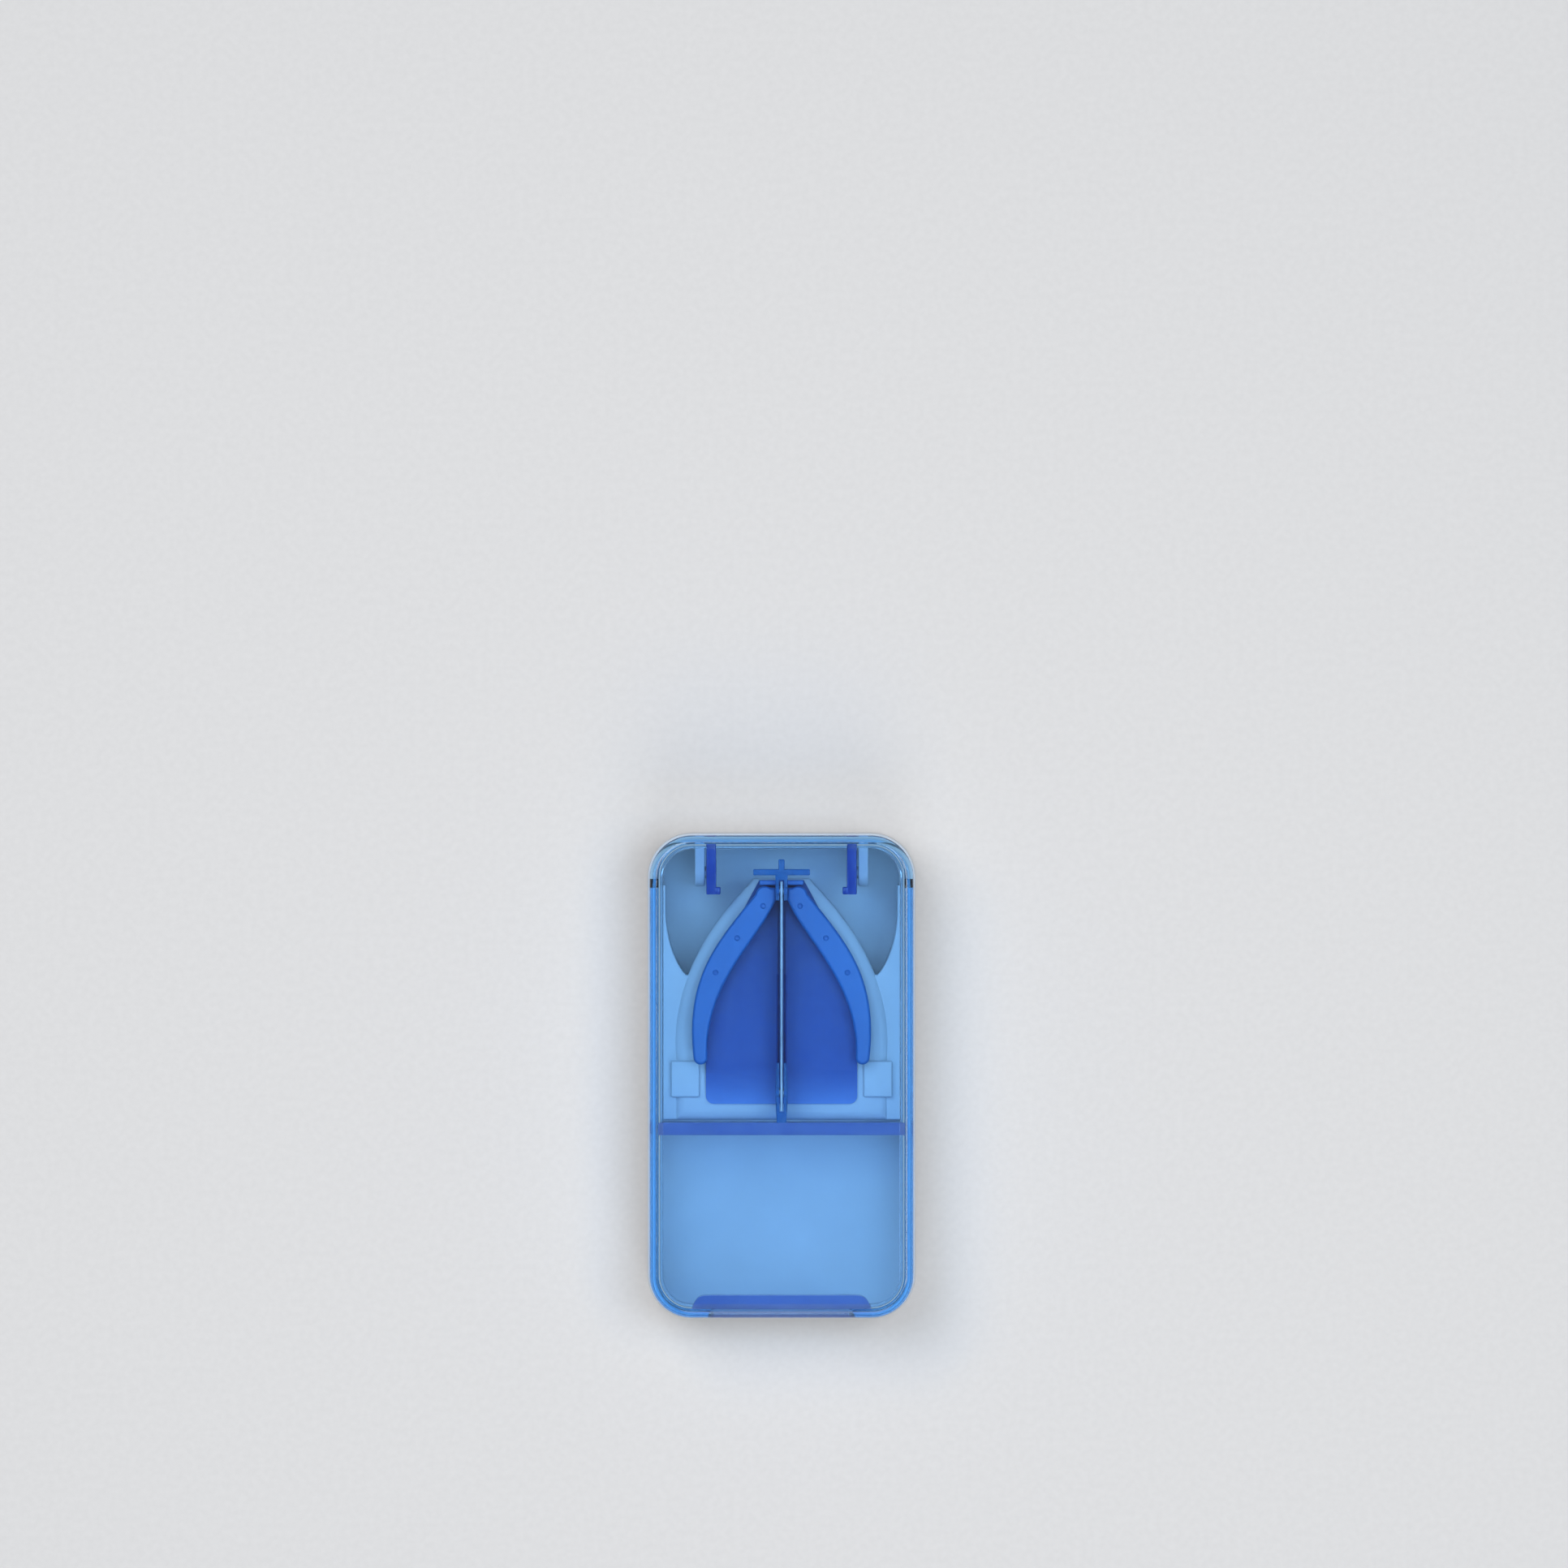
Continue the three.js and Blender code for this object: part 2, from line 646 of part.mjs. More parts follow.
const cover = new THREE.Group();
cover.add(named("lid", makeLid(), clearBlue));
cover.add(named("blade", makeBlade(), bladeSteel));
cover.add(named("blade_pin_front", makeBladePin(BLADE_PIN.frontY), pinSteel));
cover.add(named("blade_pin_rear", makeBladePin(BLADE_PIN.rearY), pinSteel));
cover.add(named("hinge_pin_right", hingePin, pinSteel));
cover.add(named("hinge_pin_left", mirrored(hingePin), pinSteel));

const pillSplitter = new THREE.Group();
pillSplitter.add(base, arms, cover);

export default pillSplitter;
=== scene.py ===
"""The look of a closed pill splitter: a see-through blue lid over a pale tray.

Every piece is built here in millimetres, turned to metres once it is whole, and rides on the
body that the frame gives it. Places come from the frame's boxes and its hinge.
"""

import json
from math import acos, cos, pi, radians, sin, sqrt

import bmesh
import bpy
from mathutils import Matrix, Vector


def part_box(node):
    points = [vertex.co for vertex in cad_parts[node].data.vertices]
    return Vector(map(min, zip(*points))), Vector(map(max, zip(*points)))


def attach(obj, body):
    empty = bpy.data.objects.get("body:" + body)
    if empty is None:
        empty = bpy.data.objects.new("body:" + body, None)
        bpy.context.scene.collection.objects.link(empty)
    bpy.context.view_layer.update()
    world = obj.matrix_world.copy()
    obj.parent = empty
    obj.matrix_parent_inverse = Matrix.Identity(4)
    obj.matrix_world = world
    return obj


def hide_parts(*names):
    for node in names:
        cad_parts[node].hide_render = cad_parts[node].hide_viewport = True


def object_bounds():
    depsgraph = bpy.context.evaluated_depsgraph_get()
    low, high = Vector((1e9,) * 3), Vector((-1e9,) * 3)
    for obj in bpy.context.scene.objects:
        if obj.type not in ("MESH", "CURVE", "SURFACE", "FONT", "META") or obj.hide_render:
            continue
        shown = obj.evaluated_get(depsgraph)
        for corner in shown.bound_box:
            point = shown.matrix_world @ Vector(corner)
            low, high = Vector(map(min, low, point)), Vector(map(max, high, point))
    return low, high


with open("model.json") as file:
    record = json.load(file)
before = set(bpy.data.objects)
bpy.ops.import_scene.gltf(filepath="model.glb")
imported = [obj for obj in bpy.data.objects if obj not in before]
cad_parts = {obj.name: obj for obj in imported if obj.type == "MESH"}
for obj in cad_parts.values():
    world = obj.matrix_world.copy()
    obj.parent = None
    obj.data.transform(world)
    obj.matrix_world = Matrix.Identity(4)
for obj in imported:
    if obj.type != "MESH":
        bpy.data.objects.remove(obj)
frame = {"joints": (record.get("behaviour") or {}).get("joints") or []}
cad_low, cad_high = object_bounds()

MM = 0.001

# ---------------------------------------------------------------- places from the frame


def box_mm(node):
    """A node's lowest and highest corners, in millimetres."""
    low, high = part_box(node)
    return Vector(low) / MM, Vector(high) / MM


def joint_mm(name):
    """Where a joint's axis passes, in millimetres."""
    joint = next(j for j in frame["joints"] if j["name"] == name)
    return Vector(joint["pos_m"]) / MM


TRAY_HIGH = box_mm("base_tray")[1]
DECK_LOW, DECK_HIGH = box_mm("cutting_deck")
PAD_LOW, PAD_HIGH = box_mm("pill_pad")
ARM_LOW, ARM_HIGH = box_mm("right_arm")
LID_LOW, LID_HIGH = box_mm("lid")
BLADE_LOW, BLADE_HIGH = box_mm("blade")
HINGE = joint_mm("lid_hinge")
ARM_ROOT = joint_mm("right_arm_flex")

# Driving dimensions that no box gives, in millimetres.
TRAY_CORNER = 7.2
TRAY_WALL = 1.6
TRAY_FLOOR = 1.2
LID_CORNER = 6.9
LID_WALL = 1.4
LID_PLATE = 1.5
SEAM = 0.3
DECK_TOP = 15.8
DECK_WALL = 1.4
ARCH_HALF = 17.2
SHELF_HALF = 19.6
SHELF_TOP = 15.2
SHELF_WING = 0.8
PAD_TOP = 16.9
PAD_HALF = 12.3
RIB_REAR = -7.5
RIB_THICK = 2.0
RELIEF_RADIUS = 7.6
RELIEF_TOP = 19.6
RELIEF_FRONT = 30.5
BLADE_HOLE_RADIUS = 0.8
TRAY_HOLE_RADIUS = 1.09
EAR_HOLE_RADIUS = 1.06

# How far a joined shape reaches in, how far a cutter reaches out, and the least gap.
BITE = 0.5
CLEAR = 1.0
SLIVER = 0.01

LID_RIM = TRAY_HIGH.z + SEAM
CEILING = LID_HIGH.z - LID_PLATE
LID_FRONT = LID_LOW.y

CORNER_STEPS = 20
CURVE_STEPS = 36

# ---------------------------------------------------------------- mesh tools


def rounded_ring(half_x, half_y, radius, z):
    """One rounded rectangle of points, anticlockwise from above."""
    points = []
    for quadrant, (side_x, side_y) in enumerate(((1, 1), (-1, 1), (-1, -1), (1, -1))):
        for step in range(CORNER_STEPS + 1):
            angle = (quadrant + step / CORNER_STEPS) * pi / 2
            x = side_x * (half_x - radius) + radius * cos(angle)
            y = side_y * (half_y - radius) + radius * sin(angle)
            points.append((x, y, z))
    return points


def quarter(inset, z, radius, start, end, steps=6):
    """A quarter round of a profile, as (inset, z) points between two angles in degrees."""
    angles = [radians(start + (end - start) * i / steps) for i in range(steps + 1)]
    return [(inset - radius * cos(a), z + radius * sin(a)) for a in angles]


def bezier(start, first, second, end, steps=CURVE_STEPS):
    """The points of a cubic curve in a plane, without its last one."""
    points = []
    for i in range(steps):
        t = i / steps
        weights = ((1 - t) ** 3, 3 * t * (1 - t) ** 2, 3 * t * t * (1 - t), t**3)
        corners = (start, first, second, end)
        points.append(tuple(sum(w * c[k] for w, c in zip(weights, corners)) for k in (0, 1)))
    return points


def arc(centre, radius, start, end, steps=16):
    """The points of an arc in a plane, between two angles in radians."""
    angles = [start + (end - start) * i / steps for i in range(steps + 1)]
    return [(centre[0] + radius * cos(a), centre[1] + radius * sin(a)) for a in angles]


def mirror_x(points):
    """The other half of an outline that is drawn upwards on the right side."""
    return [(-x, y) for x, y in reversed(points)]


def make_object(name, bm):
    """A new object from a bmesh, with its faces turned outwards."""
    bmesh.ops.remove_doubles(bm, verts=bm.verts, dist=1e-4)
    bmesh.ops.recalc_face_normals(bm, faces=bm.faces)
    mesh = bpy.data.meshes.new(name)
    bm.to_mesh(mesh)
    bm.free()
    piece = bpy.data.objects.new(name, mesh)
    bpy.context.scene.collection.objects.link(piece)
    return piece


def loft(name, rings):
    """A closed body through rings of equal counts, capped at both ends."""
    bm = bmesh.new()
    loops = [[bm.verts.new(point) for point in ring] for ring in rings]
    for low, high in zip(loops, loops[1:]):
        for i in range(len(low)):
            j = (i + 1) % len(low)
            bm.faces.new((low[i], low[j], high[j], high[i]))
    bm.faces.new(loops[0])
    bm.faces.new(loops[-1])
    return make_object(name, bm)


def shell(name, half_x, half_y, corner, profile):
    """A rounded box whose wall follows a profile of (inset, z) points."""
    rings = [rounded_ring(half_x - i, half_y - i, corner - i, z) for i, z in profile]
    return loft(name, rings)


def placed(point, distance, along):
    """A point of a flat outline, put at a distance along the axis that the outline faces."""
    first, second = point
    if along == "x":
        return (distance, first, second)
    if along == "y":
        return (first, distance, second)
    return (first, second, distance)


def extrude(name, outline, low, high, round_off=0.0, segments=3, along="z"):
    """An outline pushed from low to high, whose rims at both ends may be rounded off.

    Along z the outline is (x, y), along y it is (x, z), and along x it is (y, z).
    """
    bm = bmesh.new()
    first = [bm.verts.new(placed(point, low, along)) for point in outline]
    last = [bm.verts.new(placed(point, high, along)) for point in outline]
    bm.faces.new(first)
    bm.faces.new(last)
    count = len(outline)
    for i in range(count):
        j = (i + 1) % count
        bm.faces.new((first[i], first[j], last[j], last[i]))
    bmesh.ops.recalc_face_normals(bm, faces=bm.faces)
    if round_off:
        caps = [set(first), set(last)]
        rims = [e for e in bm.edges if any(set(e.verts) <= cap for cap in caps)]
        bmesh.ops.bevel(
            bm, geom=rims, offset=round_off, segments=segments, profile=0.5, affect="EDGES"
        )
    return make_object(name, bm)


def block(name, low, high, round_off=0.0, segments=2):
    """A box between two corners, whose edges may be rounded off."""
    bm = bmesh.new()
    bmesh.ops.create_cube(bm, size=1.0)
    size = [b - a for a, b in zip(low, high)]
    middle = [(a + b) / 2 for a, b in zip(low, high)]
    bmesh.ops.scale(bm, vec=size, verts=bm.verts)
    bmesh.ops.translate(bm, vec=middle, verts=bm.verts)
    if round_off:
        bmesh.ops.bevel(
            bm, geom=bm.edges[:], offset=round_off, segments=segments, profile=0.5, affect="EDGES"
        )
    return make_object(name, bm)


def turned(name, profile, sides=40, along="z", centre=(0, 0, 0)):
    """A round body from (radius, distance) points, turned about an axis through centre."""
    bm = bmesh.new()
    loops = []
    for radius, distance in profile:
        loop = []
        for i in range(sides):
            angle = 2 * pi * i / sides
            point = placed((radius * cos(angle), radius * sin(angle)), distance, along)
            loop.append(bm.verts.new([p + c for p, c in zip(point, centre)]))
        loops.append(loop)
    for low, high in zip(loops, loops[1:]):
        for i in range(sides):
            j = (i + 1) % sides
            bm.faces.new((low[i], low[j], high[j], high[i]))
    bm.faces.new(loops[0])
    bm.faces.new(loops[-1])
    return make_object(name, bm)


def rod_x(name, radius, y, z, low, high, chamfer=0.0, sides=40):
    """A round bar along X, whose ends may be chamfered."""
    profile = [(radius, low), (radius, high)]
    if chamfer:
        profile = [
            (radius - chamfer, low),
            (radius, low + chamfer),
            (radius, high - chamfer),
            (radius - chamfer, high),
        ]
    return turned(name, profile, sides, "x", (0, y, z))


def combine(target, tool, operation):
    """Joins a tool to the target or cuts it out, and throws the tool away."""
    modifier = target.modifiers.new(operation.lower(), "BOOLEAN")
    modifier.operation = operation
    modifier.solver = "EXACT"
    modifier.object = tool
    bpy.context.view_layer.update()
    done = target.evaluated_get(bpy.context.evaluated_depsgraph_get())
    mesh = bpy.data.meshes.new_from_object(done)
    target.modifiers.clear()
    target.data = mesh
    bpy.data.objects.remove(tool)


def add(target, *tools):
    """Joins each tool to the target."""
    for tool in tools:
        combine(target, tool, "UNION")
    return target


def cut(target, *tools):
    """Cuts each tool out of the target."""
    for tool in tools:
        combine(target, tool, "DIFFERENCE")


def mirrored(piece, name):
    """A copy of a piece on the other side of the blade's plane."""
    bm = bmesh.new()
    bm.from_mesh(piece.data)
    bmesh.ops.transform(bm, matrix=Matrix.Scale(-1, 4, (1, 0, 0)), verts=bm.verts)
    return make_object(name, bm)


def polish(piece, material, node, body, sharp=34):
    """Turns a finished body to metres, smooths its shading and puts it in its node's place."""
    piece.data.transform(Matrix.Scale(MM, 4))
    piece.data.shade_smooth()
    piece.data.set_sharp_from_angle(angle=radians(sharp))
    piece.data.materials.clear()
    piece.data.materials.append(material)
    weighted = piece.modifiers.new("weighted_normals", "WEIGHTED_NORMAL")
    weighted.keep_sharp = True
    weighted.weight = 80
    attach(piece, body)
    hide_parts(node)


# ---------------------------------------------------------------- materials


CLOUD_SCALE = 70
CLEAR_IOR = 1.49


class Shader:
    """A new material, with short ways to add and join its nodes."""

    def __init__(self, name):
        self.material = bpy.data.materials.new(name)
        self.material.use_nodes = True
        self.tree = self.material.node_tree
        self.surface = self.tree.nodes["Principled BSDF"]
        self.output = self.tree.nodes["Material Output"]
        self.place = self.node("ShaderNodeTexCoord").outputs["Object"]

    def node(self, kind, **values):
        made = self.tree.nodes.new(kind)
        for key, value in values.items():
            setattr(made, key, value)
        return made

    def join(self, source, target):
        self.tree.links.new(source, target)

    def set(self, **values):
        """Sets the surface's own sockets: Roughness=0.4, Coat_Weight=0.1 and so on."""
        for key, value in values.items():
            self.surface.inputs[key.replace("_", " ")].default_value = value

    def stretched(self, scale):
        """The object's coordinates, scaled by a different amount along each axis."""
        mapping = self.node("ShaderNodeMapping")
        mapping.inputs["Scale"].default_value = scale
        self.join(self.place, mapping.inputs["Vector"])
        return mapping.outputs["Vector"]

    def noise(self, scale, detail=3.0, rough=0.5, place=None):
        noise = self.node("ShaderNodeTexNoise")
        noise.inputs["Scale"].default_value = scale
        noise.inputs["Detail"].default_value = detail
        noise.inputs["Roughness"].default_value = rough
        self.join(place or self.place, noise.inputs["Vector"])
        return noise.outputs["Fac"]

    def spread(self, value, low, high, start=0.3, end=0.7):
        """Maps a pattern's values from start..end to low..high."""
        ranged = self.node("ShaderNodeMapRange")
        ranged.inputs["From Min"].default_value = start
        ranged.inputs["From Max"].default_value = end
        ranged.inputs["To Min"].default_value = low
        ranged.inputs["To Max"].default_value = high
        self.join(value, ranged.inputs["Value"])
        return ranged.outputs["Result"]

    def blend(self, factor, first, second):
        """Mixes two colours by a pattern. Either may be a socket."""
        mix = self.node("ShaderNodeMix", data_type="RGBA")
        sockets = [s for s in mix.inputs if s.type == "RGBA"]
        self.join(factor, mix.inputs["Factor"])
        for socket, colour in zip(sockets, (first, second)):
            if isinstance(colour, tuple):
                socket.default_value = (*colour, 1.0)
            else:
                self.join(colour, socket)
        return next(s for s in mix.outputs if s.type == "RGBA")

    def let_lamps_through(self, tint):
        """Lets the lamps' light pass with a tint, where the plain shader would stop it."""
        open_way = self.node("ShaderNodeBsdfTransparent")
        open_way.inputs["Color"].default_value = (*tint, 1.0)
        path = self.node("ShaderNodeLightPath")
        mix = self.node("ShaderNodeMixShader")
        self.join(path.outputs["Is Shadow Ray"], mix.inputs["Fac"])
        self.join(self.surface.outputs["BSDF"], mix.inputs[1])
        self.join(open_way.outputs["BSDF"], mix.inputs[2])
        self.join(mix.outputs["Shader"], self.output.inputs["Surface"])

    def bump(self, height, strength, depth, under=None):
        """A bump of a pattern, in metres deep, over another bump."""
        bump = self.node("ShaderNodeBump")
        bump.inputs["Strength"].default_value = strength
        bump.inputs["Distance"].default_value = depth
        self.join(height, bump.inputs["Height"])
        if under:
            self.join(under, bump.inputs["Normal"])
        return bump.outputs["Normal"]


def clouded(shader, scale, light, dark):
    """A colour that drifts between two near tones, in clouds of a given scale."""
    clouds = shader.noise(scale, 4, 0.55)
    return shader.blend(shader.spread(clouds, 0, 1), dark, light)


def satin_finish(shader, rough, grain_depth, under=None):
    """The uneven sheen and the spark-eroded grain of a moulded face."""
    wear_scale, coarse_scale, fine_scale = 420, 2600, 7800
    worn = shader.noise(wear_scale, 3, 0.6)
    roughness = shader.spread(worn, rough - 0.06, rough + 0.07)
    shader.join(roughness, shader.surface.inputs["Roughness"])
    coarse = shader.bump(shader.noise(coarse_scale, 2, 0.6), 0.5, grain_depth, under)
    fine = shader.bump(shader.noise(fine_scale, 1, 0.5), 0.35, grain_depth / 2, coarse)
    shader.join(fine, shader.surface.inputs["Normal"])


def moulded_plastic(name, light, dark, rough, grain_depth, depth_of_light):
    """Satin moulded plastic: clouded colour, grain and faint flow waves."""
    shader = Shader(name)
    colour = clouded(shader, CLOUD_SCALE, light, dark)
    shader.join(colour, shader.surface.inputs["Base Color"])
    flow_scale, flow_depth = 95, 0.00003
    flow = shader.bump(shader.noise(flow_scale, 2, 0.4), 0.25, flow_depth)
    satin_finish(shader, rough, grain_depth, flow)
    shader.set(Subsurface_Weight=depth_of_light, Subsurface_Scale=0.0012, IOR=1.5)
    shader.surface.inputs["Subsurface Radius"].default_value = (1.0, 0.9, 0.8)
    return shader.material


def fading_plastic(name, light, dark, thin, rough, grain_depth):
    """Moulded plastic that pales where its sheet thins out in front, and carries painted shade
    that darkens it behind, towards the V where the arms and lid shade it.
    """
    full_y, bare_y, ease = 0.002, -0.0046, 1.7
    # Painted shade: from y 8 mm to 22 mm the pad's colour darkens towards the V, standing in for
    # the shade of the arms and the lid.
    painted_shade_from_y, painted_shade_full_y, painted_shade_factor = 0.008, 0.022, 0.85
    shader = Shader(name)
    split = shader.node("ShaderNodeSeparateXYZ")
    shader.join(shader.place, split.inputs["Vector"])
    fade = shader.node("ShaderNodeMath", operation="POWER", use_clamp=True)
    shader.join(shader.spread(split.outputs["Y"], 0, 1, full_y, bare_y), fade.inputs[0])
    fade.inputs[1].default_value = ease
    # Painted shade: the darker tone that is blended in towards the V behind.
    deep = tuple(painted_shade_factor * part for part in dark)
    painted_shade_towards_vee = shader.spread(split.outputs["Y"], 0, 1, painted_shade_from_y, painted_shade_full_y)
    colour = clouded(shader, CLOUD_SCALE, light, dark)
    colour = shader.blend(painted_shade_towards_vee, colour, deep)
    colour = shader.blend(fade.outputs[0], colour, thin)
    shader.join(colour, shader.surface.inputs["Base Color"])
    satin_finish(shader, rough, grain_depth)
    shader.set(IOR=1.5)
    return shader.material


def clear_plastic(name, tint, absorbs, density):
    """Polished see-through plastic, tinted at its faces and further by its depth."""
    shader = Shader(name)
    shader.set(Transmission_Weight=1.0, IOR=CLEAR_IOR, Specular_IOR_Level=0.5)
    shader.surface.inputs["Base Color"].default_value = (*tint, 1.0)
    smear_scale, scuff_scale, flow_scale, scratch_scale = 160, 30, 55, 900
    smears = shader.noise(smear_scale, 5, 0.65)
    scuffs = shader.noise(scuff_scale, 3, 0.6, shader.stretched((60, 9, 60)))
    haze = shader.node("ShaderNodeMath", operation="MULTIPLY")
    shader.join(smears, haze.inputs[0])
    shader.join(scuffs, haze.inputs[1])
    smoothest, roughest = 0.012, 0.055
    roughness = shader.spread(haze.outputs[0], smoothest, roughest, 0.15, 0.4)
    shader.join(roughness, shader.surface.inputs["Roughness"])
    flow_depth, scratch_depth = 0.00006, 0.00001
    flow = shader.bump(shader.noise(flow_scale, 2, 0.4), 0.18, flow_depth)
    lines = shader.noise(scratch_scale, 2, 0.5, shader.stretched((1.0, 0.06, 1.0)))
    scratches = shader.bump(lines, 0.05, scratch_depth, flow)
    shader.join(scratches, shader.surface.inputs["Normal"])
    shader.let_lamps_through([sqrt(part) for part in tint])
    depth = shader.node("ShaderNodeVolumeAbsorption")
    depth.inputs["Color"].default_value = (*absorbs, 1.0)
    depth.inputs["Density"].default_value = density
    shader.join(depth.outputs["Volume"], shader.output.inputs["Volume"])
    return shader.material


def dense_plastic(name, light, dark, see_through, shadow_tint):
    """The same see-through plastic where it is thick and stops part of the light."""
    cloud_scale, smear_scale, flow_scale, flow_depth = 90, 240, 80, 0.00004
    smoothest, roughest = 0.1, 0.24
    shader = Shader(name)
    colour = clouded(shader, cloud_scale, light, dark)
    shader.join(colour, shader.surface.inputs["Base Color"])
    smears = shader.spread(shader.noise(smear_scale, 4, 0.6), smoothest, roughest)
    shader.join(smears, shader.surface.inputs["Roughness"])
    flow = shader.bump(shader.noise(flow_scale, 2, 0.4), 0.2, flow_depth)
    shader.join(flow, shader.surface.inputs["Normal"])
    shader.set(Transmission_Weight=see_through, IOR=CLEAR_IOR)
    shader.let_lamps_through(shadow_tint)
    return shader.material


def ground_steel(name, bright, dull, rough, along, lines_depth):
    """Steel with grinding lines along one direction and faint stains."""
    line_scale, stain_scale = 1800, 260
    shader = Shader(name)
    lines = shader.noise(line_scale, 3, 0.6, shader.stretched(along))
    stains = shader.noise(stain_scale, 4, 0.6)
    tone = shader.node("ShaderNodeMath", operation="MULTIPLY")
    shader.join(lines, tone.inputs[0])
    shader.join(stains, tone.inputs[1])
    colour = shader.blend(shader.spread(tone.outputs[0], 0, 1, 0.15, 0.4), dull, bright)
    shader.join(colour, shader.surface.inputs["Base Color"])
    roughness = shader.spread(lines, rough - 0.06, rough + 0.1)
    shader.join(roughness, shader.surface.inputs["Roughness"])
    shader.join(shader.bump(lines, 0.4, lines_depth), shader.surface.inputs["Normal"])
    shader.set(Metallic=1.0, Anisotropic=0.5)
    return shader.material


def floor_paper(name):
    """A plain pale backdrop with the faintest tooth."""
    tooth_scale, dark, light = 900, (0.83, 0.83, 0.84), (0.86, 0.86, 0.87)
    shader = Shader(name)
    tooth = shader.noise(tooth_scale, 2, 0.5)
    colour = shader.blend(shader.spread(tooth, 0, 1), dark, light)
    shader.join(colour, shader.surface.inputs["Base Color"])
    shader.set(Roughness=0.75)
    return shader.material


TRAY_PLASTIC = moulded_plastic(
    "tray_plastic", (0.69, 0.70, 0.715), (0.63, 0.64, 0.655), 0.42, 0.000012, 0.08
)
PAD_PLASTIC = fading_plastic(
    "pad_plastic", (0.014, 0.088, 0.38), (0.010, 0.074, 0.33), (0.16, 0.31, 0.66), 0.48, 0.00002
)
ARM_PLASTIC = moulded_plastic(
    "arm_plastic", (0.022, 0.175, 0.48), (0.016, 0.145, 0.42), 0.34, 0.00001, 0.06
)
CLEAR_BLUE = clear_plastic("clear_blue_plastic", (0.49, 0.695, 0.915), (0.0, 0.594, 0.875), 85.0)
RIB_BLUE = dense_plastic(
    "rib_blue_plastic", (0.20, 0.27, 0.60), (0.17, 0.24, 0.54), 0.5, (0.6, 0.72, 0.9)
)
EAR_BLUE = dense_plastic(
    "ear_blue_plastic", (0.004, 0.06, 0.36), (0.003, 0.05, 0.31), 0.12, (0.3, 0.5, 0.85)
)
HOLDER_BLUE = dense_plastic(
    "holder_blue_plastic", (0.03, 0.26, 0.58), (0.02, 0.22, 0.52), 0.62, (0.5, 0.7, 0.92)
)
BLADE_STEEL = ground_steel(
    "blade_steel", (0.36, 0.37, 0.39), (0.26, 0.27, 0.29), 0.34, (1.0, 0.04, 1.0), 0.000006
)
PIN_STEEL = ground_steel(
    "pin_steel", (0.66, 0.67, 0.69), (0.46, 0.47, 0.49), 0.32, (1.0, 1.0, 1.0), 0.000004
)

# ---------------------------------------------------------------- tray, deck, pad and arms


def make_tray():
    """The open box, with two brackets at the rear that the hinge pins end in."""
    edge, rim, fillet = 1.0, 0.35, 0.8
    top, wall, floor = TRAY_HIGH.z, TRAY_WALL, TRAY_FLOOR
    profile = [
        *quarter(edge, edge, edge, -90, 0, 8),
        *quarter(rim, top - rim, rim, 0, 90, 4),
        *quarter(wall - rim, top - rim, -rim, -90, 0, 4),
        *quarter(wall + fillet, floor + fillet, fillet, 0, -90, 6),
    ]
    tray = shell("tray_body", TRAY_HIGH.x, TRAY_HIGH.y, TRAY_CORNER, profile)

    reach, inner, outer = 2.2, 12.5, 14.1
    rear_wall = TRAY_HIGH.y - wall + BITE
    side = [
        (HINGE.y - reach, floor - BITE),
        (rear_wall, floor - BITE),
        (rear_wall, HINGE.z + reach),
        *arc((HINGE.y, HINGE.z), reach, pi / 2, pi, 16),
    ]
    for sign in (1, -1):
        low, high = sorted((sign * inner, sign * outer))
        bracket = extrude("bracket", side, low, high, 0.2, 3, "x")
        hole = rod_x("hole", TRAY_HOLE_RADIUS, HINGE.y, HINGE.z, low - CLEAR, high + CLEAR)
        cut(bracket, hole)
        add(tray, bracket)
    polish(tray, TRAY_PLASTIC, "base_tray", "base")


def arch_outline(inset=0.0):
    """The plan of the deck's raised middle: straight in front, a pointed arch behind."""
    half, straight = ARCH_HALF - inset, 2.6
    across, lengthways = 0.8, 0.6
    tip = (5.2 - across * inset, DECK_HIGH.y - across - inset)
    flat = (4.6 - across * inset, DECK_HIGH.y - inset)
    bow, lean = (18.2 - inset, 13.0), (13.4 - inset, 23.0 - lengthways * inset)
    right = [
        (half, DECK_LOW.y + inset),
        *bezier((half, straight), bow, lean, tip),
        tip,
        flat,
    ]
    return right + mirror_x(right)


def shelf_outline():
    """The plan of the low shelf beside the arch, with a thin wing along each tray wall."""
    inner, wing_end = SHELF_HALF - SHELF_WING, 31.0
    well_top, foot = (inner, 26.0), (15.6, 16.4)
    right = [
        (SHELF_HALF, DECK_LOW.y),
        (SHELF_HALF, wing_end),
        (inner, wing_end),
        *bezier(well_top, (18.5, 21.5), (17.2, 18.2), foot),
        foot,
    ]
    return right + mirror_x(right)


